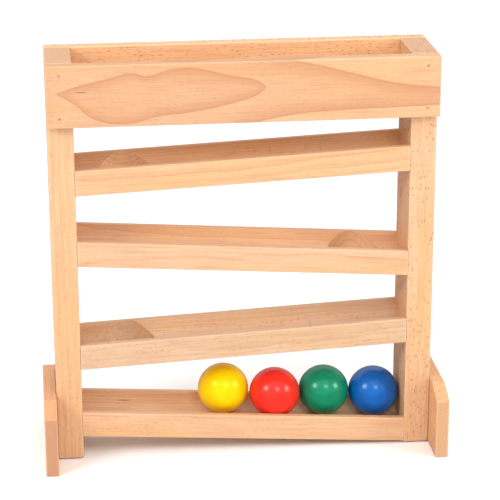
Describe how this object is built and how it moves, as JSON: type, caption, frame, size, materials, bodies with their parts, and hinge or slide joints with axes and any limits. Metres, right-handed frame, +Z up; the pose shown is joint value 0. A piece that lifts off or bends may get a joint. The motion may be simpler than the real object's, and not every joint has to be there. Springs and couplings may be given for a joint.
{
  "type": "marble run",
  "caption": "Free-standing beech ball run: a tray on top, sloping grooved tracks with drop holes between two uprights on feet, and loose painted balls.",
  "frame": {"origin": "on the ground, in the middle of the frame's width and depth", "axes": "+X to the right along the tracks, +Y from front to back, +Z up"},
  "size_m": [0.348, 0.125, 0.353],
  "materials": {
    "beech": "clear satin lacquer",
    "dowel_wood": "clear satin lacquer",
    "yellow_paint": "yellow gloss paint on wood",
    "red_paint": "red gloss paint on wood",
    "green_paint": "green gloss paint on wood",
    "blue_paint": "blue gloss paint on wood",
    "steel": "plain steel"
  },
  "bodies": {
    "frame": {"left_upright": "beech", "right_upright": "beech", "front_board": "beech", "back_board": "beech", "tray_floor": "beech", "top_track": "beech", "second_track": "beech", "third_track": "beech", "catch_track": "beech", "left_foot": "beech", "right_foot": "beech", "track_dowels": "dowel_wood", "front_brads": "steel", "back_brads": "steel", "floor_brads": "steel", "foot_screws": "steel"},
    "yellow_ball": {"yellow_ball": "yellow_paint"},
    "red_ball": {"red_ball": "red_paint"},
    "green_ball": {"green_ball": "green_paint"},
    "blue_ball": {"blue_ball": "blue_paint"}
  },
  "joints": [
    {"name": "yellow_ball_roll", "type": "slide", "parent": "frame", "child": "yellow_ball", "axis": [-0.9977, 0, 0.0672], "range_m": [0, 0.1026]},
    {"name": "red_ball_takeout", "type": "hinge", "parent": "frame", "child": "red_ball", "pos_m": [0.02885, -0.026, 0.02861], "axis": [1, 0, 0], "range_deg": [0, 145]},
    {"name": "green_ball_takeout", "type": "hinge", "parent": "frame", "child": "green_ball", "pos_m": [0.07365, -0.026, 0.02559], "axis": [1, 0, 0], "range_deg": [0, 145]},
    {"name": "blue_ball_takeout", "type": "hinge", "parent": "frame", "child": "blue_ball", "pos_m": [0.11845, -0.026, 0.02257], "axis": [1, 0, 0], "range_deg": [0, 145]}
  ]
}
